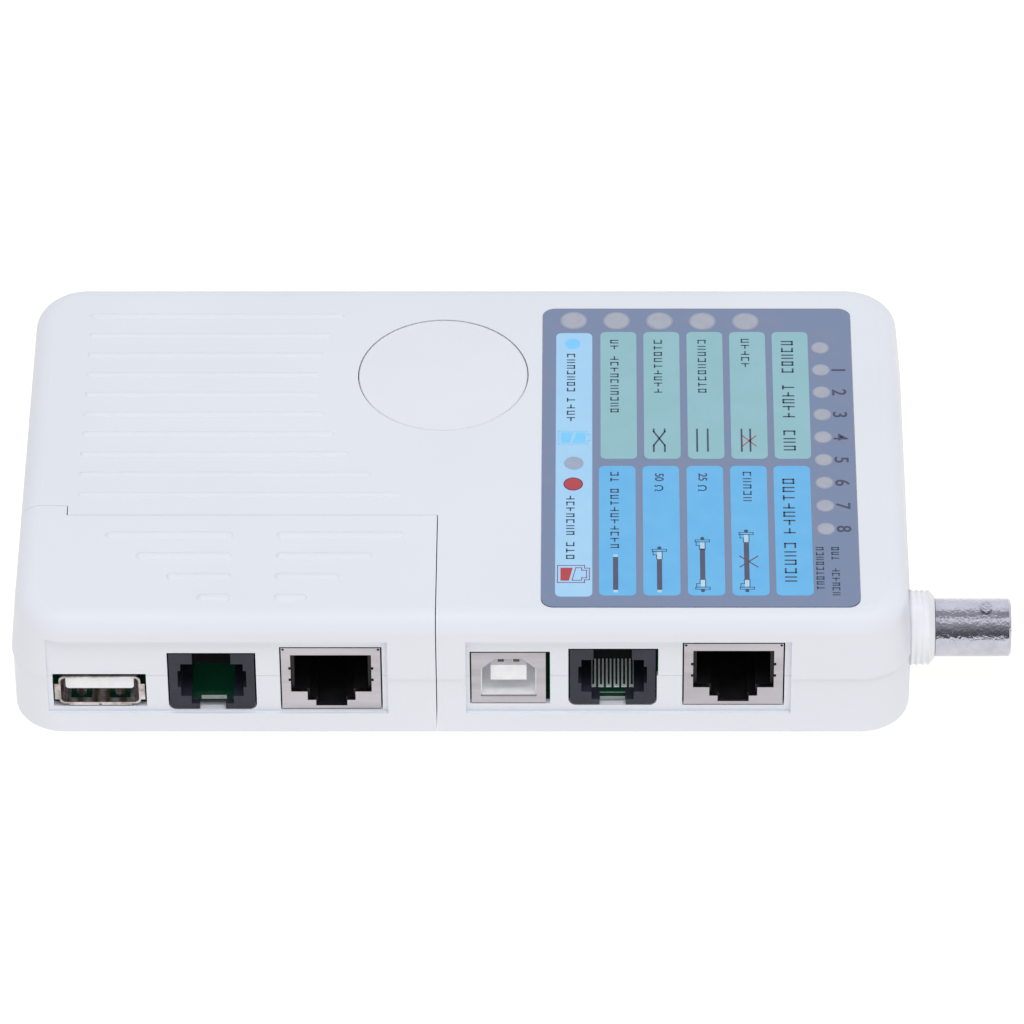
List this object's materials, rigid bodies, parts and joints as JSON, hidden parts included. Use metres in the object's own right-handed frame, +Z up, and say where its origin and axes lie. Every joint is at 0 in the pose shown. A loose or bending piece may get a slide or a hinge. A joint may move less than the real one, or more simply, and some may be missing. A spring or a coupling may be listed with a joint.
{
  "type": "network cable tester",
  "caption": "Hand-held cable tester: L-shaped main unit with a docked, detachable remote unit, a round test button, a printed overlay with lamp windows, and front and end sockets.",
  "frame": {"origin": "middle of the outline in plan, on the surface that the tester rests on", "axes": "+X towards the coaxial socket, -Y the way the front sockets face, +Z up, the overlay and button on top"},
  "size_m": [0.162, 0.084, 0.0254],
  "materials": {
    "case_plastic": "fine satin texture, cool white moulded shell",
    "button_plastic": "satin, cool white",
    "overlay_film": "satin printed film, blue-grey with teal and blue fields",
    "switch_plastic": "black moulded",
    "board_green": "green solder mask over glass laminate",
    "lamp_lens": "diffused lens",
    "tinned_wire": "tinned",
    "chip_black": "moulded epoxy",
    "resistor_body": "matt glaze",
    "socket_shield": "nickel-plated sheet, faint rolling grain",
    "insert_black": "glass-filled, slightly satin",
    "gold_contact": "gold flash",
    "insert_grey": "charcoal moulded",
    "insert_white": "white moulded",
    "bnc_plastic": "white moulded, slightly translucent",
    "bnc_chrome": "polished nickel",
    "battery_case": "plain printed jacket, no lettering",
    "snap_black": "moulded",
    "lead_red": "vinyl sleeve",
    "lead_black": "vinyl sleeve",
    "screw_steel": "zinc plated"
  },
  "bodies": {
    "main_unit": {"battery": "battery_case", "battery_lamps": "lamp_lens", "battery_lead_black": "lead_black", "battery_lead_red": "lead_red", "battery_snap": "snap_black", "battery_terminals": "socket_shield", "bnc_barrel": "bnc_chrome", "bnc_centre_contact": "gold_contact", "bnc_dielectric": "insert_white", "bnc_housing": "bnc_plastic", "chip_pins": "tinned_wire", "controller_chip": "chip_black", "label_overlay": "overlay_film", "lamp_leads": "tinned_wire", "lamp_resistors": "resistor_body", "main_case_screws": "screw_steel", "main_circuit_board": "board_green", "main_lower_shell": "case_plastic", "main_rj11_contacts": "tinned_wire", "main_rj11_housing": "insert_grey", "main_rj45_contacts": "gold_contact", "main_rj45_insert": "insert_black", "main_rj45_shield": "socket_shield", "main_upper_shell": "case_plastic", "mode_lamps": "lamp_lens", "pin_lamps": "lamp_lens", "switch_housing": "switch_plastic", "usb_b_contacts": "gold_contact", "usb_b_insert": "insert_white", "usb_b_shell": "socket_shield"},
    "test_button": {"test_button": "button_plastic", "switch_plunger": "switch_plastic"},
    "battery_door": {"battery_door": "case_plastic"},
    "remote_unit": {"remote_case_screws": "screw_steel", "remote_circuit_board": "board_green", "remote_lower_shell": "case_plastic", "remote_resistors": "resistor_body", "remote_rj11_contacts": "tinned_wire", "remote_rj11_housing": "insert_grey", "remote_rj45_contacts": "gold_contact", "remote_rj45_insert": "insert_black", "remote_rj45_shield": "socket_shield", "remote_upper_shell": "case_plastic", "usb_a_contacts": "gold_contact", "usb_a_insert": "insert_white", "usb_a_shell": "socket_shield"}
  },
  "joints": [
    {"name": "button_press", "type": "slide", "parent": "main_unit", "child": "test_button", "axis": [0, 0, -1], "range_m": [0, 0.0005], "stiffness_N_per_m": 1500},
    {"name": "remote_slide", "type": "slide", "parent": "main_unit", "child": "remote_unit", "axis": [0, -1, 0], "range_m": [0, 0.03]},
    {"name": "battery_door_slide", "type": "slide", "parent": "main_unit", "child": "battery_door", "axis": [-1, 0, 0], "range_m": [0, 0.055]}
  ]
}
